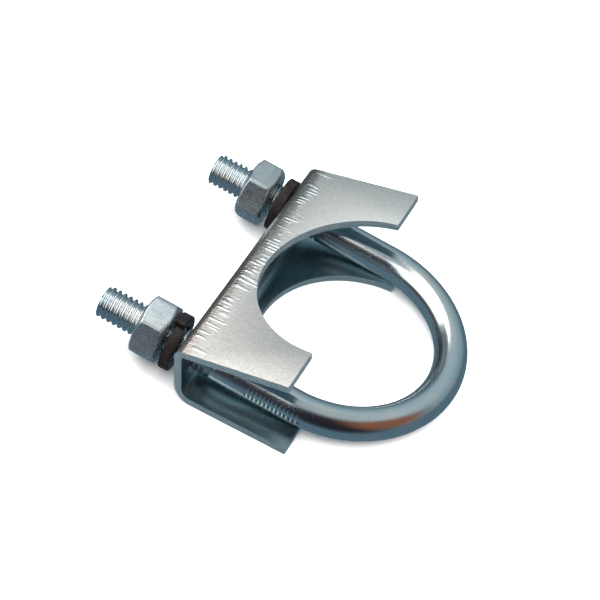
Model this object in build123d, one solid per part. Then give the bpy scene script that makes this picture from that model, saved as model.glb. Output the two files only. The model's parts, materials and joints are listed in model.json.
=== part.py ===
from build123d import *
import math
import os

# Pipe clamp lying loose on a flat surface: a U-bolt, a pressed saddle, two hex
# nuts and two split spring washers. X runs along the legs toward the bend,
# +Z is up, and left is the +Y leg. Lengths are in mm, angles in degrees.

# U-bolt: one bent rod, threaded 5/16-18 UNC at both ends
rod_diameter = 7.94
leg_spacing = 53.0
leg_length = {"left": 48.1, "right": 49.5}
thread_length = 30.2
thread_diameter = 7.90
thread_pitch = 25.4 / 18
thread_half_angle = 30.0
crest_width = thread_pitch / 8
thread_depth = 0.6134 * thread_pitch
thread_clearance = 0.13
end_chamfer = 0.55
thread_start = 0.75
root_overlap = 0.05

# Hex nut
across_flats = 14.0
nut_height = 6.75
nut_chamfer_angle = 30.0
nut_countersink = 0.45
nut_tip_clearance = 0.17
nut_lead_in = 0.85
nut_turn = {"left": -28.0, "right": -21.0}

# Split spring washer
washer_inner = 8.7
washer_outer = 13.8
washer_thickness = 2.5
washer_rise = {"left": 0.5, "right": 1.0}
washer_sag = 0.28
washer_split = 10.0
washer_split_at = {"left": 306.0, "right": 183.0}

# Saddle: sheet pressed to a channel, with a round cut-out in each flange
sheet = 1.85
saddle_length = 69.7
saddle_height = 15.6
flange_depth = 28.5
upper_splay = 4.9
lower_splay = 8.2
end_taper = 0.02
upper_bend_radius = 2.4
upper_inner_radius = 0.7
lower_bend_radius = 5.0
lower_inner_radius = 2.6
seat_radius = 23.6
seat_centre_depth = 29.5
leg_hole = 9.5
blank_depth = 2 * flange_depth
cutter_length = 12.0

# Where the loose pieces lie
leg_slope = 4.5
web_from_bend = 26.1
nut_from_end = {"left": 9.35, "right": 10.6}
washer_from_end = {"left": 17.65, "right": 17.7}

rod_radius = rod_diameter / 2
thread_radius = thread_diameter / 2
root_radius = thread_radius - thread_depth
flank = math.tan(math.radians(thread_half_angle))
slope_cos = math.cos(math.radians(leg_slope))
slope_sin = math.sin(math.radians(leg_slope))
side_sign = {"left": 1, "right": -1}

# The bend's end and the lower flange both touch Z = 0; the origin is at the
# centre of the footprint.
bend_height = rod_radius + leg_spacing / 2 * slope_sin
front_x = leg_spacing / 2 * slope_cos + rod_radius
back_x = -max(leg_length.values()) * slope_cos - (root_radius - end_chamfer) * slope_sin
middle_x = (front_x + back_x) / 2
ubolt_place = Location((-middle_x, 0, bend_height), (0, leg_slope, 0))
saddle_web_height = saddle_height / 2 * math.cos(math.radians(lower_splay))
saddle_place = Location(
    (-middle_x - web_from_bend, 0, saddle_web_height), (0, -lower_splay, 0)
)


def leg_place(side):
    """Frame of one leg: +Z from its threaded end toward the bend."""
    return ubolt_place * Location(
        (-leg_length[side], side_sign[side] * leg_spacing / 2, 0), (0, 90, 0)
    )


def thread_ridge(base_radius, tip_radius, base_width, tip_width, start, length):
    """Helical ridge of trapezoid section, rooted a little inside its base."""
    helix = Helix(pitch=thread_pitch, height=length, radius=base_radius, center=(0, 0, start))
    section_plane = Plane(origin=helix @ 0, x_dir=(1, 0, 0), z_dir=helix % 0)
    rise = tip_radius - base_radius
    root = -math.copysign(root_overlap, rise)
    section = section_plane * make_face(
        Polyline(
            (root, -base_width / 2),
            (rise, -tip_width / 2),
            (rise, tip_width / 2),
            (root, base_width / 2),
            close=True,
        )
    )
    return sweep(section, path=helix, is_frenet=True)


def threaded_end():
    """Threaded stretch of a leg, along +Z from the leg's end."""
    core = Cylinder(root_radius, thread_length, align=(Align.CENTER, Align.CENTER, Align.MIN))
    core = chamfer(core.edges().group_by(Axis.Z)[0], end_chamfer)
    base_width = crest_width + 2 * thread_depth * flank
    ridge = thread_ridge(
        root_radius,
        thread_radius,
        base_width,
        crest_width,
        thread_start,
        thread_length - thread_start,
    )
    return core + ridge


def u_bolt():
    start = {side: leg_length[side] - thread_length for side in leg_length}
    left = Line((-start["left"], leg_spacing / 2), (0, leg_spacing / 2))
    bend = CenterArc((0, 0), leg_spacing / 2, 90, -180)
    right = Line((0, -leg_spacing / 2), (-start["right"], -leg_spacing / 2))
    path = left + bend + right
    section = Plane(origin=path @ 0, z_dir=path % 0) * Circle(rod_radius)
    rod = ubolt_place * sweep(section, path=path)
    for side in side_sign:
        rod += leg_place(side) * threaded_end()
    return rod


def nut_start(side):
    """Where the nut's helix begins: midway between two turns of the leg's."""
    first = nut_from_end[side] + nut_lead_in
    turns = math.ceil((first - thread_start) / thread_pitch - 0.5)
    return thread_start + (turns + 0.5) * thread_pitch


def nut(side):
    blank = extrude(RegularPolygon(across_flats / 2, 6, major_radius=False), nut_height)
    corner = across_flats / math.sqrt(3)
    cone = math.tan(math.radians(nut_chamfer_angle))
    drop = (corner - across_flats / 2) * cone
    profile = make_face(
        Polyline(
            (0, 0),
            (across_flats / 2, 0),
            (corner, drop),
            (corner, nut_height - drop),
            (across_flats / 2, nut_height),
            (0, nut_height),
            close=True,
        )
    )
    blank &= revolve(Plane.XZ * profile, Axis.Z)
    bore_radius = thread_radius + thread_clearance
    bore = Cylinder(bore_radius, nut_height, align=(Align.CENTER, Align.CENTER, Align.MIN))
    blank -= bore
    rim = blank.edges().filter_by(GeomType.CIRCLE)
    rim = [e for e in rim if abs(e.radius - bore_radius) < 0.01]
    blank = chamfer(rim, nut_countersink)
    tip_radius = root_radius + nut_tip_clearance
    play = 2 * thread_clearance / math.cos(math.radians(thread_half_angle))
    gap_at_bore = thread_pitch - crest_width + 2 * thread_clearance * flank
    base_width = gap_at_bore - play
    tip_width = base_width - 2 * (bore_radius - tip_radius) * flank
    start = nut_start(side) - nut_from_end[side]
    length = nut_height - nut_lead_in - start
    ridge = thread_ridge(bore_radius, tip_radius, base_width, tip_width, start, length)
    turned = Rot(0, 0, nut_turn[side]) * blank + ridge
    return leg_place(side) * Pos(0, 0, nut_from_end[side]) * turned


def spring_washer(side):
    """Split ring whose ends stand apart along the leg."""
    rise = washer_rise[side]
    helix = Helix(
        pitch=rise / (1 - washer_split / 360),
        height=rise,
        radius=(washer_outer + washer_inner) / 4,
        center=(0, 0, washer_thickness / 2),
        lefthand=True,
    )
    section_plane = Plane(origin=helix @ 0, x_dir=(1, 0, 0), z_dir=helix % 0)
    section = section_plane * Rectangle((washer_outer - washer_inner) / 2, washer_thickness)
    ring = sweep(section, path=helix, is_frenet=True)
    turned = Rot(0, 0, washer_split_at[side]) * ring
    return leg_place(side) * Pos(washer_sag, 0, washer_from_end[side]) * turned


def flange_point(up, depth, below=0.0):
    """Point at a depth along the upper or lower flange, below its outer face."""
    angle = math.radians(upper_splay if up > 0 else lower_splay)
    x = depth * math.cos(angle) + below * math.sin(angle)
    y = saddle_height / 2 + depth * math.sin(angle) - below * math.cos(angle)
    return (x, up * y)


def inner_corner(up):
    """Where the inner face of a flange meets the inner face of the web."""
    angle = math.radians(upper_splay if up > 0 else lower_splay)
    y = saddle_height / 2 + sheet * math.tan(angle) - sheet / math.cos(angle)
    return (sheet, up * y)


def saddle_section():
    """Channel section in X (depth) and Y (height), open toward +X."""
    outline = Polyline(
        flange_point(1, flange_depth),
        flange_point(1, 0),
        flange_point(-1, 0),
        flange_point(-1, flange_depth),
        flange_point(-1, flange_depth, sheet),
        inner_corner(-1),
        inner_corner(1),
        flange_point(1, flange_depth, sheet),
        close=True,
    )
    face = make_face(outline)
    for corner, radius in (
        (flange_point(1, 0), upper_bend_radius),
        (flange_point(-1, 0), lower_bend_radius),
        (inner_corner(1), upper_inner_radius),
        (inner_corner(-1), lower_inner_radius),
    ):
        vertex = face.vertices().sort_by_distance((*corner, 0))[0]
        face = fillet(vertex, radius)
    return face


def saddle():
    body = extrude(Plane.XZ * saddle_section(), saddle_length, both=True)
    half = saddle_length / 2
    flare = half + end_taper * blank_depth
    blank = make_face(
        Polyline((0, -half), (blank_depth, -flare), (blank_depth, flare), (0, half), close=True)
    )
    body &= extrude(blank, saddle_height * 2, both=True)
    for up, splay in ((1, upper_splay), (-1, lower_splay)):
        flange = Pos(0, 0, up * saddle_height / 2) * Rot(0, -up * splay, 0)
        body -= flange * Pos(seat_centre_depth, 0, 0) * Cylinder(seat_radius, cutter_length)
    for side in side_sign.values():
        hole = Rot(0, 90, 0) * Cylinder(leg_hole / 2, cutter_length)
        body -= Pos(0, side * leg_spacing / 2, 0) * hole
    return saddle_place * body


def build():
    nodes = {"u_bolt": u_bolt(), "saddle": saddle()}
    for side in side_sign:
        nodes[f"nut_{side}"] = nut(side)
        nodes[f"spring_washer_{side}"] = spring_washer(side)
    return nodes


os.makedirs("parts", exist_ok=True)
for name, shape in build().items():
    export_step(shape, f"parts/{name}.step")
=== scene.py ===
import bpy
import bmesh
import json
import math
from mathutils import Matrix, Vector


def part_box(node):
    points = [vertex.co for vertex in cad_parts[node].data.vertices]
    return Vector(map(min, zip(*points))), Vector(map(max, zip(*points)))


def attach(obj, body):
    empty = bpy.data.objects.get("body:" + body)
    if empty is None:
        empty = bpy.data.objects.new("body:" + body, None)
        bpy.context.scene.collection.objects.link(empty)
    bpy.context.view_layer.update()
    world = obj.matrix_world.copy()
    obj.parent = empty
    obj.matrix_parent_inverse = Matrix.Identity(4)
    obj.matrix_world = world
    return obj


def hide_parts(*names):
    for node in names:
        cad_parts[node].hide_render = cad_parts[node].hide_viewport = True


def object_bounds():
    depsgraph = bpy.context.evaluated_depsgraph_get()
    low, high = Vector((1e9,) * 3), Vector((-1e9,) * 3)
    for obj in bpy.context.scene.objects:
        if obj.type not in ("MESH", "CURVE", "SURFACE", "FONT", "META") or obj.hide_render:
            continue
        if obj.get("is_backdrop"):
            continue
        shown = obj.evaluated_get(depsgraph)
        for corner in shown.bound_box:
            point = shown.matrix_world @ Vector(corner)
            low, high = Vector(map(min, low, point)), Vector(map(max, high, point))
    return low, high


# A zinc-plated pipe clamp on a pale table. Every piece is built in mm in its own
# local frame and placed, in metres, where the CAD model has it. X runs along the
# legs toward the bend, left is the +Y leg.

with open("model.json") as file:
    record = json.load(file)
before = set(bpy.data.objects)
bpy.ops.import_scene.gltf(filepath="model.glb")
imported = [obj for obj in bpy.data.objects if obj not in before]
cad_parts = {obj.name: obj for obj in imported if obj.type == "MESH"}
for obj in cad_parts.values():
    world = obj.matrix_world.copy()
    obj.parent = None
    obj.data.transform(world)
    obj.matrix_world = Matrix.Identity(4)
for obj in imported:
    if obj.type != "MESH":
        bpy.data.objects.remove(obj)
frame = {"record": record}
cad_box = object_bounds()
joints = {joint["name"]: joint for joint in frame["record"]["behaviour"]["joints"]}
sides = {"left": 1, "right": -1}
mm = 0.001

# U-bolt
rod_radius = 3.97
leg_spacing = 53.0
leg_length = {"left": 48.1, "right": 49.5}
thread_length = 30.2
thread_pitch = 25.4 / 18
crest_radius = 3.95
thread_depth = 0.48 * thread_pitch
thread_start = 0.75
thread_clearance = 0.13
tip_radius = 3.3
tip_flare = 1.3
tip_blend = 0.15
tip_trim = 0.1
crest_half = 0.07
root_half = 0.47

# Hex nut
across_flats = 14.0
nut_height = 6.75
nut_from_end = {"left": 9.35, "right": 10.6}
nut_turn = {"left": -28.0, "right": -21.0}
nut_face_radius = 6.45
countersink = 4.25

# Split spring washer
washer_inner = 8.7
washer_outer = 13.8
washer_thickness = 2.5
washer_rise = {"left": 0.5, "right": 1.0}
washer_split = 10.0
washer_split_at = {"left": 306.0, "right": 183.0}
washer_from_end = {"left": 17.65, "right": 17.7}

# Saddle
sheet = 1.85
saddle_length = 69.7
saddle_height = 15.6
flange_depth = 28.5
upper_splay = 4.9
lower_splay = 8.2
end_taper = 0.02
bend_radii = {"upper": (2.4, 0.7), "lower": (5.0, 2.6)}
seat_radius = 23.6
seat_centre_depth = 29.5
leg_hole = 9.5
web_from_bend = 26.1

# Frames of the U-bolt and the saddle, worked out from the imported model
along = Vector(joints["saddle_slide"]["axis"]).normalized()
across = Vector((0, 1, 0))
upward = along.cross(across)
half_spacing = leg_spacing / 2
bend_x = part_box("u_bolt")[1][0] - (rod_radius + half_spacing * along.x) * mm
leg_point = Vector(joints["nut_left_spin"]["pos_m"])
bend_z = leg_point.z + (bend_x - leg_point.x) / along.x * along.z
bend_centre = Vector((bend_x, 0, bend_z))


def frame_matrix(origin, x_axis, y_axis, z_axis):
    """Matrix from a local frame in mm to the row frame in metres."""
    axes = Matrix((x_axis, y_axis, z_axis)).transposed().to_4x4()
    return Matrix.Translation(origin) @ axes @ Matrix.Scale(mm, 4)


def leg_matrix(side):
    """Frame of a leg: +Z from its threaded end toward the bend, +X down."""
    end = bend_centre + (across * sides[side] * half_spacing - along * leg_length[side]) * mm
    return frame_matrix(end, -upward, across, along)


def saddle_matrix():
    """Frame of the saddle: origin on the web's outer face, +X into the channel."""
    tilt = math.radians(lower_splay)
    inward = Vector((math.cos(tilt), 0, math.sin(tilt)))
    height = saddle_height / 2 * math.cos(tilt)
    origin = Vector((bend_x - web_from_bend * mm, 0, height * mm))
    return frame_matrix(origin, inward, across, inward.cross(across))


def smooth_min(a, b, width):
    """Smaller of two radii, with the crease between them rounded."""
    h = max(width - abs(a - b), 0) / width
    return min(a, b) - h * h * width / 4


def ramp(value, start, end):
    """0 before start, 1 after end, smooth between."""
    t = min(max((value - start) / (end - start), 0), 1)
    return t * t * (3 - 2 * t)


def new_mesh(name, verts, faces):
    """Closed mesh with its normals turned outward."""
    mesh = bpy.data.meshes.new(name)
    mesh.from_pydata(verts, [], faces)
    shell = bmesh.new()
    shell.from_mesh(mesh)
    bmesh.ops.recalc_face_normals(shell, faces=shell.faces)
    shell.to_mesh(mesh)
    shell.free()
    return mesh


def set_uv(mesh, point_uv):
    """UV map, in mm, from each vertex's number and place."""
    layer = mesh.uv_layers.new(name="surface_mm")
    for loop in mesh.loops:
        place = mesh.vertices[loop.vertex_index].co
        layer.data[loop.index].uv = point_uv(loop.vertex_index, place)


def place_piece(name, mesh, matrix, body, slot, *materials):
    """Puts a mm mesh where its CAD node is, in metres, and lets it ride there."""
    mesh.transform(matrix)
    mesh.polygons.foreach_set("use_smooth", [True] * len(mesh.polygons))
    for material in materials:
        mesh.materials.append(material)
    piece = bpy.data.objects.new(name, mesh)
    bpy.context.scene.collection.objects.link(piece)
    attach(piece, body)
    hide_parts(body)


def grid_faces(rows, columns, wrap_rows=False):
    """Quads of a grid of points whose columns close on themselves."""
    faces = []
    for i in range(rows if wrap_rows else rows - 1):
        below, above = i * columns, (i + 1) % rows * columns
        for j in range(columns):
            k = (j + 1) % columns
            faces.append((below + j, below + k, above + k, above + j))
    return faces


# ---- threads ----

def thread_height(z, theta, wider=0.0):
    """Height of the thread above its root, 0 to 1, at a height and angle on a leg."""
    turn = (z - thread_start) / thread_pitch - theta / math.tau
    from_crest = abs(turn - round(turn))
    return 1 - ramp(from_crest, crest_half + wider, root_half + wider)


def stud_radius(z, theta):
    """Radius of a leg: chamfered tip, rolled thread, run-out, plain shank."""
    fade = ramp(z, thread_length - 0.9 * thread_pitch, thread_length + 0.4 * thread_pitch)
    root = crest_radius - thread_depth
    radius = root + thread_depth * thread_height(z, theta)
    radius += (rod_radius - radius) * fade
    return smooth_min(radius, tip_radius + tip_flare * z, tip_blend)


# ---- U-bolt ----

ring_points = 72
thread_step = 0.09
tick_spacing = 1.02
tick_span = (38.9, 52.2)
tick_angle = math.radians(262)
tick_cut = 0.13
tick_half_width = 0.17
tick_half_turn = 0.33


def tick_depth(distance, theta):
    """Small grip marks on the outer side of the right leg, near the bend."""
    if not tick_span[0] < distance < tick_span[1]:
        return 0
    phase = (distance - tick_span[0]) / tick_spacing % 1 - 0.5
    turn = (theta - tick_angle + math.pi) % math.tau - math.pi
    notch = math.exp(-((phase / tick_half_width) ** 2))
    wide = math.exp(-((turn / tick_half_turn) ** 4))
    return tick_cut * notch * wide


def stations(start, end, step):
    """Even distances from the start up to the end, which is left out."""
    count = max(1, round((end - start) / step))
    return [start + (end - start) * i / count for i in range(count)]


def u_bolt_rings():
    """Centre, inward axis and distance from the right leg's tip, for each ring."""
    straight = leg_length["right"]
    arc = math.pi * half_spacing
    total = straight + arc + leg_length["left"]
    left_thread = total - thread_length - 1
    distances = stations(tip_trim, thread_length + 1, thread_step)
    distances += stations(thread_length + 1, tick_span[0], 1.0)
    distances += stations(tick_span[0], tick_span[1], 0.12)
    distances += stations(tick_span[1], straight + arc, 0.8)
    distances += stations(straight + arc, left_thread, 1.0)
    distances += stations(left_thread, total - tip_trim, thread_step) + [total - tip_trim]
    for distance in distances:
        if distance < straight:
            centre = (distance - straight, -half_spacing)
            inward = (0, 1)
        elif distance < straight + arc:
            angle = (distance - straight) / half_spacing - math.pi / 2
            centre = (half_spacing * math.cos(angle), half_spacing * math.sin(angle))
            inward = (-math.cos(angle), -math.sin(angle))
        else:
            centre = (straight + arc - distance, half_spacing)
            inward = (0, -1)
        yield distance, total - distance, centre, inward


def build_u_bolt(material):
    verts = []
    distances = []
    for distance, to_go, centre, inward in u_bolt_rings():
        distances.append(distance)
        for i in range(ring_points):
            theta = math.tau * i / ring_points
            if distance < to_go:
                radius = stud_radius(distance, theta) - tick_depth(distance, theta)
            else:
                radius = stud_radius(to_go, -theta)
            side = radius * math.sin(theta)
            verts.append(
                (
                    centre[0] + side * inward[0],
                    centre[1] + side * inward[1],
                    -radius * math.cos(theta),
                )
            )
    faces = grid_faces(len(distances), ring_points)
    faces.append(tuple(range(ring_points)))
    faces.append(tuple(range(len(verts) - ring_points, len(verts))))
    mesh = new_mesh("bent_rod", verts, faces)
    around = math.tau * rod_radius / ring_points
    set_uv(mesh, lambda i, _: (distances[i // ring_points], i % ring_points * around))
    mesh.set_sharp_from_angle(angle=math.radians(42))
    matrix = frame_matrix(bend_centre, along, across, upward)
    place_piece("bent_rod", mesh, matrix, "u_bolt", "plated_rod", material)


# ---- nuts ----

nut_columns = 240
thread_rows = 52
corner_trim = 0.12
corner_blend = 0.35
chamfer_blend = 0.22
chamfer_angle = 30.0
face_rounding = 0.08


def nut_outer_radius(z, theta):
    """Hexagon rounded at its corners, cut by a cone at each end."""
    from_flat = theta % (math.pi / 3) - math.pi / 6
    hexagon = across_flats / 2 / math.cos(from_flat)
    corner = across_flats / math.sqrt(3)
    hexagon = smooth_min(hexagon, corner - corner_trim, corner_blend)
    slope = 1 / math.tan(math.radians(chamfer_angle))
    cone = nut_face_radius + min(z, nut_height - z) * slope
    return smooth_min(hexagon, cone, chamfer_blend)


def nut_profile(side):
    """Rows of the nut's skin, each a height and a radius as a function of the angle."""
    turn = math.radians(nut_turn[side])
    base = nut_from_end[side]
    bore = crest_radius + thread_clearance
    tip = crest_radius - thread_depth + 1.3 * thread_clearance
    edge = countersink - bore

    def outer(z):
        return lambda theta: nut_outer_radius(z, theta - turn)

    def flat(radius):
        return lambda theta: radius

    def thread(z):
        fade = ramp(min(z, nut_height - z), edge, edge + 0.7)
        return lambda theta: bore - fade * (bore - tip) * (
            1 - thread_height(z + base, theta, thread_clearance / thread_pitch)
        )

    rim = [0, 0.04, 0.1, 0.18, 0.28, 0.4, 0.55, 0.72, 0.9, 1.1, 1.35, 1.7, 2.2, 2.8]
    heights = rim + [nut_height - z for z in reversed(rim)]
    rows = [(z, outer(z)) for z in heights]
    face = [flat(nut_face_radius - face_rounding), flat(countersink + face_rounding)]
    rows += [(nut_height, radius) for radius in face]
    rows.append((nut_height - face_rounding / 2, flat(countersink)))
    for i in range(thread_rows + 1):
        z = nut_height - edge - (nut_height - 2 * edge) * i / thread_rows
        rows.append((z, thread(z)))
    rows.append((face_rounding / 2, flat(countersink)))
    rows += [(0, radius) for radius in reversed(face)]
    return rows


def build_nut(side, material):
    rows = nut_profile(side)
    verts = []
    for z, radius in rows:
        for j in range(nut_columns):
            theta = math.tau * j / nut_columns
            r = radius(theta)
            verts.append((r * math.cos(theta), r * math.sin(theta), z))
    mesh = new_mesh(f"hex_nut_{side}", verts, grid_faces(len(rows), nut_columns, True))
    around = math.tau * across_flats / 2 / nut_columns
    set_uv(mesh, lambda i, place: (place.z, i % nut_columns * around))
    mesh.set_sharp_from_angle(angle=math.radians(50))
    matrix = leg_matrix(side) @ Matrix.Translation((0, 0, nut_from_end[side]))
    place_piece(f"hex_nut_{side}", mesh, matrix, f"nut_{side}", "plated_nut", material)


# ---- spring washers ----

washer_sag = 0.28
washer_corner = 0.28
washer_steps = 120
end_slant = 0.05
end_rounding = [(0.0, 0.86), (0.0012, 0.97)]


def washer_section():
    """Rounded rectangle, radial by axial."""
    half_width = (washer_outer - washer_inner) / 4
    half_height = washer_thickness / 2
    points = []
    for k, (sx, sy) in enumerate(((1, 1), (-1, 1), (-1, -1), (1, -1))):
        for i in range(5):
            angle = math.pi / 2 * (k + i / 4)
            x = sx * (half_width - washer_corner) + washer_corner * math.cos(angle)
            y = sy * (half_height - washer_corner) + washer_corner * math.sin(angle)
            points.append((x, y))
    return points


def build_washer(side, material):
    section = washer_section()
    middle = (washer_outer + washer_inner) / 4
    sweep = math.radians(360 - washer_split)
    start = math.radians(washer_split_at[side] + washer_split)
    verts = []
    stops = end_rounding + [(i / washer_steps, 1.0) for i in range(1, washer_steps)]
    stops += [(1 - t, scale) for t, scale in reversed(end_rounding)]
    for t, scale in stops:
        for x, y in section:
            slant = end_slant * y
            radius = middle + x * scale
            theta = start + sweep * t + slant / middle
            z = washer_thickness / 2 + washer_rise[side] * (1 - t) + y * scale
            verts.append((radius * math.cos(theta), radius * math.sin(theta), z))
    count = len(section)
    faces = grid_faces(len(stops), count)
    faces.append(tuple(range(count)))
    faces.append(tuple(range(len(verts) - count, len(verts))))
    name = f"split_washer_{side}"
    mesh = new_mesh(name, verts, faces)
    set_uv(mesh, lambda i, place: (place.z, i // count * sweep * middle / washer_steps))
    mesh.set_sharp_from_angle(angle=math.radians(50))
    shift = Matrix.Translation((washer_sag, 0, washer_from_end[side]))
    body = f"spring_washer_{side}"
    matrix = leg_matrix(side) @ shift
    place_piece(name, mesh, matrix, body, "black_spring_steel", material)


# ---- saddle ----

cutter_length = 12.0
seat_segments = 256
hole_segments = 96
bevel_width = 0.2
bevel_from_angle = 35.0
cut_tolerance = 0.6
edge_reach = 1.0
edge_on = 0.7
end_on = 0.9


def flange_point(up, depth, below=0.0):
    """Point at a depth along the upper or lower flange, below its outer face."""
    angle = math.radians(upper_splay if up > 0 else lower_splay)
    x = depth * math.cos(angle) + below * math.sin(angle)
    z = saddle_height / 2 + depth * math.sin(angle) - below * math.cos(angle)
    return Vector((x, up * z))


def inner_corner(up):
    """Where the inner face of a flange meets the inner face of the web."""
    angle = math.radians(upper_splay if up > 0 else lower_splay)
    z = saddle_height / 2 + sheet * math.tan(angle) - sheet / math.cos(angle)
    return Vector((sheet, up * z))


def fillet(before, corner, after, radius, steps=14):
    """Points of the arc that rounds a corner."""
    to_before = (before - corner).normalized()
    to_after = (after - corner).normalized()
    half = to_before.angle(to_after) / 2
    centre = corner + (to_before + to_after).normalized() * radius / math.sin(half)
    first = corner + to_before * radius / math.tan(half) - centre
    last = corner + to_after * radius / math.tan(half) - centre
    turn = first.angle_signed(last)
    points = []
    for i in range(steps + 1):
        angle = -turn * i / steps
        c, s = math.cos(angle), math.sin(angle)
        points.append(centre + Vector((first.x * c - first.y * s, first.x * s + first.y * c)))
    return points


def saddle_outline():
    upper_outer, upper_inner = bend_radii["upper"]
    lower_outer, lower_inner = bend_radii["lower"]
    corners = [
        (flange_point(1, flange_depth), 0),
        (flange_point(1, 0), upper_outer),
        (flange_point(-1, 0), lower_outer),
        (flange_point(-1, flange_depth), 0),
        (flange_point(-1, flange_depth, sheet), 0),
        (inner_corner(-1), lower_inner),
        (inner_corner(1), upper_inner),
        (flange_point(1, flange_depth, sheet), 0),
    ]
    points = []
    for i, (corner, radius) in enumerate(corners):
        if radius:
            before, after = corners[i - 1][0], corners[(i + 1) % len(corners)][0]
            points += fillet(before, corner, after, radius)
        else:
            points.append(corner)
    return points


def add_cutter(shell, matrix, radius, segments):
    bmesh.ops.create_cone(
        shell,
        cap_ends=True,
        segments=segments,
        radius1=radius,
        radius2=radius,
        depth=cutter_length,
        matrix=matrix,
    )


def saddle_cutters():
    """The round cut-out of each flange and the two leg holes."""
    shell = bmesh.new()
    for up, splay in ((1, upper_splay), (-1, lower_splay)):
        flange = Matrix.Translation((0, 0, up * saddle_height / 2))
        flange = flange @ Matrix.Rotation(math.radians(-up * splay), 4, "Y")
        flange = flange @ Matrix.Translation((seat_centre_depth, 0, 0))
        add_cutter(shell, flange, seat_radius, seat_segments)
    for sign in sides.values():
        hole = Matrix.Translation((0, sign * half_spacing, 0))
        hole = hole @ Matrix.Rotation(math.pi / 2, 4, "Y")
        add_cutter(shell, hole, leg_hole / 2, hole_segments)
    mesh = bpy.data.meshes.new("cutters")
    shell.to_mesh(mesh)
    shell.free()
    return mesh


def temporary(mesh):
    thing = bpy.data.objects.new(mesh.name, mesh)
    bpy.context.scene.collection.objects.link(thing)
    return thing


def skin_of(face):
    """0 on the channel's outside, 1 on its inside, which gets the painted-shade skin, 2 where
    the sheet was cut.
    """
    normal, middle = face.normal, face.center
    at_tip = middle.x > flange_depth - edge_reach and normal.x > edge_on
    off_axis = math.hypot(middle.x - seat_centre_depth, middle.y)
    on_circle = abs(off_axis - seat_radius) < cut_tolerance
    in_cut = on_circle and abs(normal.z) < edge_on and middle.x > sheet + edge_reach
    if abs(normal.y) > end_on or at_tip or in_cut:
        return 2
    outward = Vector((-1 if middle.x < sheet else 0, 0, math.copysign(1, middle.z)))
    return int(normal.dot(outward) < 0)


def build_saddle(*skins):
    outline = saddle_outline()
    verts = []
    for sign in (-1, 1):
        for point in outline:
            verts.append((point.x, sign * (saddle_length / 2 + end_taper * point.x), point.y))
    count = len(outline)
    faces = grid_faces(2, count)
    faces += [tuple(range(count)), tuple(range(count, 2 * count))]
    blank = temporary(new_mesh("saddle_blank", verts, faces))
    cutters = temporary(saddle_cutters())
    cut = blank.modifiers.new("cut", "BOOLEAN")
    cut.operation = "DIFFERENCE"
    cut.solver = "EXACT"
    cut.object = cutters
    bevel = blank.modifiers.new("bevel", "BEVEL")
    bevel.width = bevel_width
    bevel.segments = 3
    bevel.limit_method = "ANGLE"
    bevel.angle_limit = math.radians(bevel_from_angle)
    graph = bpy.context.evaluated_depsgraph_get()
    mesh = bpy.data.meshes.new_from_object(blank.evaluated_get(graph))
    mesh.name = "pressed_saddle"
    for thing in (blank, cutters):
        bpy.data.objects.remove(thing)
    for face in mesh.polygons:
        face.material_index = skin_of(face)
    drop = saddle_height / 2
    set_uv(mesh, lambda _, place: (place.y, math.copysign(place.x, place.z) + place.z - drop))
    place_piece("pressed_saddle", mesh, saddle_matrix(), "saddle", "plated_sheet", *skins)


# ---- materials ----


class Shader:
    """A principled material and the few nodes that give it its detail."""

    def __init__(self, name, metallic):
        self.material = bpy.data.materials.new(name)
        self.material.use_nodes = True
        self.tree = self.material.node_tree
        self.surface = self.tree.nodes["Principled BSDF"]
        self.surface.inputs["Metallic"].default_value = metallic
        coordinates = self.tree.nodes.new("ShaderNodeTexCoord")
        self.uv = coordinates.outputs["UV"]
        self.place = self.scaled(coordinates.outputs["Object"], (1000, 1000, 1000))

    def node(self, kind, sockets, **settings):
        node = self.tree.nodes.new(kind)
        for key, value in settings.items():
            setattr(node, key, value)
        for key, value in sockets.items():
            if isinstance(value, bpy.types.NodeSocket):
                self.tree.links.new(value, node.inputs[key])
            else:
                node.inputs[key].default_value = value
        return node

    def scaled(self, vector, scale, offset=(0, 0, 0)):
        sockets = {"Vector": vector, "Scale": scale, "Location": offset}
        return self.node("ShaderNodeMapping", sockets).outputs["Vector"]

    def noise(self, vector, scale=1.0, detail=3.0, roughness=0.5):
        sockets = {"Vector": vector, "Scale": scale, "Detail": detail, "Roughness": roughness}
        return self.node("ShaderNodeTexNoise", sockets).outputs[0]

    def math(self, operation, a, b=0.0, c=0.0):
        return self.node("ShaderNodeMath", {0: a, 1: b, 2: c}, operation=operation).outputs[0]

    def span(self, value, low, high, to_low=0.0, to_high=1.0):
        """Smooth step of a value from low to high."""
        sockets = {
            "Value": value,
            "From Min": low,
            "From Max": high,
            "To Min": to_low,
            "To Max": to_high,
        }
        node = self.node("ShaderNodeMapRange", sockets, interpolation_type="SMOOTHSTEP")
        return node.outputs["Result"]

    def mix(self, factor, a, b):
        node = self.node("ShaderNodeMix", {}, data_type="RGBA")
        for key, value in ((0, factor), (6, a), (7, b)):
            if isinstance(value, bpy.types.NodeSocket):
                self.tree.links.new(value, node.inputs[key])
            else:
                node.inputs[key].default_value = value
        return node.outputs[2]

    def random(self, value, seed):
        """White noise of a whole number."""
        sockets = {"W": self.math("ADD", value, seed)}
        noise = self.node("ShaderNodeTexWhiteNoise", sockets, noise_dimensions="1D")
        return noise.outputs["Value"]

    def color(self, socket):
        self.tree.links.new(socket, self.surface.inputs["Base Color"])

    def roughness(self, socket):
        self.tree.links.new(socket, self.surface.inputs["Roughness"])

    def bump(self, height, microns):
        sockets = {"Height": height, "Distance": microns * 1e-6, "Strength": 1.0}
        normal = self.node("ShaderNodeBump", sockets).outputs["Normal"]
        self.tree.links.new(normal, self.surface.inputs["Normal"])


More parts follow.
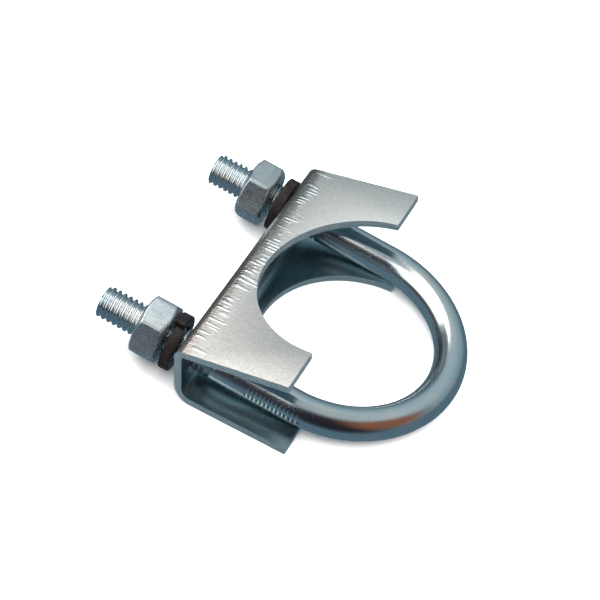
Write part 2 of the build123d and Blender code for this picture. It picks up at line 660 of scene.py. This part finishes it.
def plated_rod():
    """Bright zinc over drawn rod: lines along it, cloudy tint, small handling marks."""
    s = Shader("bright_zinc_rod", 1.0)
    lines = s.noise(s.scaled(s.uv, (0.05, 4.5, 1)), 1.0, 4.0, 0.6)
    clouds = s.span(s.noise(s.place, 0.16, 3.0), 0.35, 0.7)
    specks = s.span(s.noise(s.place, 1.7, 3.0, 0.6), 0.6, 0.72)
    tint = s.mix(clouds, (0.66, 0.76, 0.80, 1), (0.80, 0.80, 0.79, 1))
    s.color(s.mix(s.math("MULTIPLY", specks, 0.5), tint, (0.34, 0.40, 0.43, 1)))
    rough = s.math("MULTIPLY_ADD", lines, 0.16, 0.10)
    s.roughness(s.math("ADD", rough, s.math("MULTIPLY", specks, 0.18)))
    height = s.math("SUBTRACT", lines, s.math("MULTIPLY", specks, 0.8))
    s.bump(height, 6)
    return s.material


# Score streaks that run from the saddle's bends onto its flanges, lightened in colour as a
# painted highlight
streaks_per_mm = 0.95
streak_drift = 5.0
streak_lean = 0.3
streak_starts = (1.8, 3.8)
streak_ends = (5.8, 10.5)
cluster_reach = 2.4
fade_in = 1.2
fade_out = 1.6


def plated_sheet():
    """Satin zinc over pressed sheet, smoother and scored at its upper bend, with painted shade
    darkening that bend and a painted highlight lightening its score streaks.
    """
    s = Shader("satin_zinc_sheet", 1.0)
    axes = s.node("ShaderNodeSeparateXYZ", {"Vector": s.uv})
    length, depth = axes.outputs[0], axes.outputs[1]
    drift = s.noise(s.scaled(s.uv, (0.11, 0, 0)), 1.0, 2.0)
    lean = s.noise(s.scaled(s.uv, (0.3, 0.02, 1)), 1.0, 2.0)
    drift = s.math("MULTIPLY", drift, streak_drift)
    strip = s.math("MULTIPLY_ADD", length, streaks_per_mm, drift)
    lean = s.math("MULTIPLY", lean, depth)
    strip = s.math("MULTIPLY_ADD", lean, streak_lean, strip)
    number = s.math("FLOOR", strip)
    across_strip = s.math("ABSOLUTE", s.math("SUBTRACT", s.math("FRACT", strip), 0.5))
    line = s.span(across_strip, 0.0, 0.5, 1.0, 0.0)
    start = s.span(s.random(number, 3.0), 0.0, 1.0, *streak_starts)
    long = s.math("POWER", s.random(number, 11.0), 3.0)
    end = s.span(long, 0.0, 1.0, *streak_ends)
    cluster = s.span(s.noise(s.scaled(s.uv, (0.16, 0, 0), (3, 0, 0)), 1.0, 2.0), 0.42, 0.58)
    end = s.math("MULTIPLY_ADD", cluster, cluster_reach, end)
    begun = s.span(s.math("SUBTRACT", depth, start), 0.0, fade_in)
    ended = s.span(s.math("SUBTRACT", end, depth), 0.0, fade_out)
    kept = s.span(s.random(number, 7.0), 0.08, 0.6)
    broken = s.span(s.noise(s.scaled(s.uv, (1.3, 0.35, 1)), 1.0, 3.0), 0.24, 0.4)
    streak_and_highlight = s.math("MULTIPLY", line, begun)
    for factor in (ended, kept, broken):
        streak_and_highlight = s.math("MULTIPLY", streak_and_highlight, factor)
    from_end = s.math("MULTIPLY", s.math("SUBTRACT", depth, end), 1.9)
    off = s.math("MULTIPLY", across_strip, 2.6)
    reach = s.math("ADD", s.math("MULTIPLY", from_end, from_end), s.math("MULTIPLY", off, off))
    pit = s.math("MULTIPLY", s.span(reach, 0.1, 0.8, 1.0, 0.0), s.span(long, 0.4, 0.45))
    pit = s.math("MULTIPLY", pit, kept)
    mottle = s.noise(s.place, 1.5, 5.0, 0.68)
    clouds = s.span(s.noise(s.place, 0.13, 3.0), 0.3, 0.7)
    scratch = s.noise(s.scaled(s.uv, (2.6, 0.22, 1)), 1.0, 4.0, 0.7)
    scored = s.span(depth, 8.0, 3.0)
    bend_shade_band = s.span(depth, 5.6, 2.4)
    near = s.span(length, 22.0, -22.0)
    tint = s.mix(near, (0.80, 0.83, 0.81, 1), (0.95, 0.89, 0.84, 1))
    tint = s.mix(s.math("MULTIPLY", clouds, 0.5), tint, (0.86, 0.82, 0.78, 1))
    tint = s.mix(s.span(mottle, 0.38, 0.7), tint, (0.72, 0.71, 0.70, 1))
    # Painted shade: the band along the upper bend is darkened to a warm brown.
    tint = s.mix(s.math("MULTIPLY", bend_shade_band, 0.8), tint, (0.62, 0.54, 0.50, 1))
    # Painted highlight: the score streaks are lightened to near white, besides their real
    # ridges and smoother finish.
    tint = s.mix(streak_and_highlight, tint, (0.99, 0.97, 0.95, 1))
    s.color(s.mix(pit, tint, (0.16, 0.12, 0.10, 1)))
    rough = s.span(mottle, 0.3, 0.7, 0.46, 0.58)
    rough = s.math("SUBTRACT", rough, s.math("MULTIPLY", bend_shade_band, 0.30))
    s.roughness(s.math("SUBTRACT", rough, s.math("MULTIPLY", streak_and_highlight, 0.08)))
    height = s.math("MULTIPLY", mottle, 0.12)
    scratch = s.math("MULTIPLY", scratch, s.math("MULTIPLY", scored, 0.9))
    height = s.math("ADD", height, scratch)
    height = s.math("ADD", height, streak_and_highlight)
    height = s.math("SUBTRACT", height, pit)
    s.bump(height, 95)
    return s.material


def shaded_inner_sheet():
    """The channel's inside: the same plate tinted darker and bluer as painted shade, smoother,
    with faint rolling lines.
    """
    s = Shader("satin_zinc_inside_painted_shade", 1.0)
    mottle = s.noise(s.place, 0.8, 4.0, 0.6)
    lines = s.noise(s.scaled(s.uv, (0.1, 2.4, 1)), 1.0, 4.0, 0.6)
    clouds = s.span(s.noise(s.place, 0.12, 3.0), 0.3, 0.7)
    # Painted shade: the inside is tinted dark teal, well below the outside's tone.
    tint = s.mix(clouds, (0.36, 0.48, 0.51, 1), (0.40, 0.53, 0.56, 1))
    s.color(s.mix(s.span(mottle, 0.5, 0.75), tint, (0.34, 0.45, 0.48, 1)))
    s.roughness(s.span(mottle, 0.25, 0.75, 0.27, 0.34))
    s.bump(s.math("ADD", s.math("MULTIPLY", mottle, 0.5), lines), 3)
    return s.material


def sheared_sheet():
    """Edge of the plated sheet: torn grain across its thickness."""
    s = Shader("sheared_zinc_edge", 0.92)
    grain = s.noise(s.place, 1.6, 5.0, 0.7)
    fine = s.noise(s.place, 7.0, 2.0)
    s.color(s.mix(s.span(grain, 0.3, 0.7), (0.50, 0.60, 0.61, 1), (0.68, 0.76, 0.77, 1)))
    s.roughness(s.span(grain, 0.3, 0.7, 0.36, 0.55))
    s.bump(s.math("ADD", grain, s.math("MULTIPLY", fine, 0.3)), 45)
    return s.material


def plated_nut():
    """Satin zinc over a cold-formed nut, dulled and nicked by handling."""
    s = Shader("zinc_nut", 0.945)
    mottle = s.noise(s.place, 1.1, 3.0, 0.55)
    smudge = s.span(s.noise(s.place, 0.35, 3.0), 0.42, 0.66)
    nick = s.span(s.noise(s.scaled(s.uv, (2.2, 0.5, 1)), 1.0, 3.0, 0.6), 0.68, 0.8)
    tint = s.mix(smudge, (0.53, 0.59, 0.60, 1), (0.46, 0.49, 0.52, 1))
    tint = s.mix(s.span(mottle, 0.5, 0.8), tint, (0.42, 0.45, 0.48, 1))
    s.color(s.mix(nick, tint, (0.34, 0.35, 0.38, 1)))
    s.roughness(s.span(mottle, 0.25, 0.8, 0.20, 0.32))
    s.bump(s.math("SUBTRACT", mottle, s.math("MULTIPLY", nick, 0.5)), 7)
    return s.material


def black_spring_steel():
    """Black oxide over coiled wire, rubbed brown where it has been touched."""
    s = Shader("black_oxide", 0.0)
    s.surface.inputs["Specular IOR Level"].default_value = 0.22
    grain = s.noise(s.place, 1.8, 5.0, 0.7)
    rubbed = s.span(s.noise(s.place, 0.5, 3.0), 0.5, 0.72)
    lines = s.noise(s.scaled(s.uv, (5.0, 0.2, 1)), 1.0, 3.0)
    tint = s.mix(rubbed, (0.008, 0.006, 0.006, 1), (0.022, 0.014, 0.013, 1))
    s.color(s.mix(s.span(grain, 0.58, 0.75), tint, (0.035, 0.028, 0.027, 1)))
    s.roughness(s.span(grain, 0.3, 0.7, 0.30, 0.5))
    s.bump(s.math("ADD", grain, s.math("MULTIPLY", lines, 0.5)), 45)
    return s.material


sheet_skins = (plated_sheet(), shaded_inner_sheet(), sheared_sheet())
build_u_bolt(plated_rod())
build_saddle(*sheet_skins)
nut_material = plated_nut()
washer_material = black_spring_steel()
for side in sides:
    build_nut(side, nut_material)
    build_washer(side, washer_material)


# ---- studio ----

view_target = Vector((-0.00238, 0.00135, 0.008))
camera_distance = 0.518
camera_azimuth = 15.30
camera_elevation = 47.19
camera_roll = -14.44
camera_lens = 133.1
camera_sensor = 36
nearest_seen = 0.01
floor_half_size = 3.0


def plain_floor():
    shell = bmesh.new()
    bmesh.ops.create_grid(shell, x_segments=1, y_segments=1, size=floor_half_size)
    mesh = bpy.data.meshes.new("table_top")
    shell.to_mesh(mesh)
    shell.free()
    s = Shader("pale_table", 0.0)
    s.surface.inputs["Specular IOR Level"].default_value = 0.1
    s.surface.inputs["Roughness"].default_value = 0.8
    s.color(s.mix(s.noise(s.place, 0.02, 2.0), (0.90, 0.90, 0.90, 1), (0.93, 0.93, 0.93, 1)))
    mesh.materials.append(s.material)
    floor = bpy.data.objects.new("table_top", mesh)
    bpy.context.scene.collection.objects.link(floor)
    floor.visible_glossy = False
    floor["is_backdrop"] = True


def soft_light(name, direction, distance, size, watts, color=(1, 1, 1), reflected=True):
    """Square softbox that faces the clamp."""
    lamp = bpy.data.lights.new(name, "AREA")
    lamp.shape = "RECTANGLE"
    lamp.size, lamp.size_y = size
    lamp.energy = watts
    lamp.color = color
    light = bpy.data.objects.new(name, lamp)
    toward = Vector(direction).normalized()
    light.location = view_target + toward * distance
    light.rotation_euler = toward.to_track_quat("Z", "Y").to_euler()
    light.visible_glossy = reflected
    light.visible_camera = False
    bpy.context.scene.collection.objects.link(light)


def bearing(azimuth, elevation):
    """Direction from degrees: 0 is behind the clamp, 90 to its right, -90 to its left."""
    azimuth, elevation = math.radians(azimuth), math.radians(elevation)
    level = math.cos(elevation)
    return Vector((level * math.sin(azimuth), level * math.cos(azimuth), math.sin(elevation)))


# Height of the direction, and what the metal sees there
room_tones = [
    (-1.0, (0.107, 0.176, 0.225)),
    (-0.2, (0.107, 0.176, 0.225)),
    (0.0, (0.11, 0.16, 0.19)),
    (0.26, (0.225, 0.326, 0.375)),
    (0.5, (0.28, 0.38, 0.42)),
    (0.87, (0.475, 0.544, 0.574)),
    (1.0, (0.42, 0.455, 0.455)),
]
# Darker and warmer things standing round: bearing, inner and outer radius, tone
room_shapes = [
    (bearing(-60, 8), 20, 46, (0.10, 0.11, 0.115)),
    (bearing(180, 18), 16, 46, (0.07, 0.075, 0.095)),
    (bearing(150, 24), 22, 56, (0.018, 0.019, 0.026)),
    (bearing(102, 32), 10, 36, (0.27, 0.105, 0.055)),
]


def room():
    """Surroundings that the metal reflects."""
    world = bpy.data.worlds.new("room")
    bpy.context.scene.world = world
    world.use_nodes = True
    tree = world.node_tree
    nodes, link = tree.nodes, tree.links.new
    direction = nodes.new("ShaderNodeTexCoord").outputs["Generated"]
    axes = nodes.new("ShaderNodeSeparateXYZ")
    link(direction, axes.inputs[0])
    height = nodes.new("ShaderNodeMapRange")
    height.inputs["From Min"].default_value = -1
    link(axes.outputs["Z"], height.inputs["Value"])
    tones = nodes.new("ShaderNodeValToRGB")
    link(height.outputs["Result"], tones.inputs["Fac"])
    stops = tones.color_ramp.elements
    while len(stops) < len(room_tones):
        stops.new(0.5)
    for stop, (z, color) in zip(stops, room_tones):
        stop.position = (z + 1) / 2
        stop.color = (*color, 1)
    shade = tones.outputs["Color"]
    for toward, inner, outer, color in room_shapes:
        nearness = nodes.new("ShaderNodeVectorMath")
        nearness.operation = "DOT_PRODUCT"
        link(direction, nearness.inputs[0])
        nearness.inputs[1].default_value = toward
        mask = nodes.new("ShaderNodeMapRange")
        mask.interpolation_type = "SMOOTHSTEP"
        mask.inputs["From Min"].default_value = math.cos(math.radians(outer))
        mask.inputs["From Max"].default_value = math.cos(math.radians(inner))
        link(nearness.outputs["Value"], mask.inputs["Value"])
        blend = nodes.new("ShaderNodeMix")
        blend.data_type = "RGBA"
        link(mask.outputs["Result"], blend.inputs[0])
        link(shade, blend.inputs[6])
        blend.inputs[7].default_value = (*color, 1)
        shade = blend.outputs[2]
    link(shade, nodes["Background"].inputs["Color"])


def photo_camera():
    """Camera at the photograph's angle, rolled as the photograph is."""
    azimuth = math.radians(camera_azimuth)
    elevation = math.radians(camera_elevation)
    roll = math.radians(camera_roll)
    back = Vector(
        (
            math.sin(azimuth) * math.cos(elevation),
            -math.cos(azimuth) * math.cos(elevation),
            math.sin(elevation),
        )
    )
    level = Vector((math.cos(azimuth), math.sin(azimuth), 0))
    above = back.cross(level)
    right = level * math.cos(roll) - above * math.sin(roll)
    up = above * math.cos(roll) + level * math.sin(roll)
    lens = bpy.data.cameras.new("camera")
    lens.lens = camera_lens
    lens.sensor_width = camera_sensor
    lens.clip_start = nearest_seen
    camera = bpy.data.objects.new("camera", lens)
    axes = Matrix((right, up, back)).transposed().to_4x4()
    camera.matrix_world = Matrix.Translation(view_target + back * camera_distance) @ axes
    bpy.context.scene.collection.objects.link(camera)
    bpy.context.scene.camera = camera


plain_floor()
room()
soft_light("window", bearing(-124, 36), 1.2, (1.5, 1.5), 10.5, (1.0, 0.99, 0.97))
soft_light("ceiling", bearing(-74, 63), 1.2, (0.8, 0.65), 3.2, (1.0, 0.98, 0.95))
soft_light("overhead", bearing(45, 80), 1.3, (3.2, 3.2), 110, reflected=False)
photo_camera()
bpy.context.scene.view_settings.view_transform = "Standard"

boxes = {"cad": cad_box, "visual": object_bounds()}
{key: [list(corner) for corner in box] for key, box in boxes.items()}
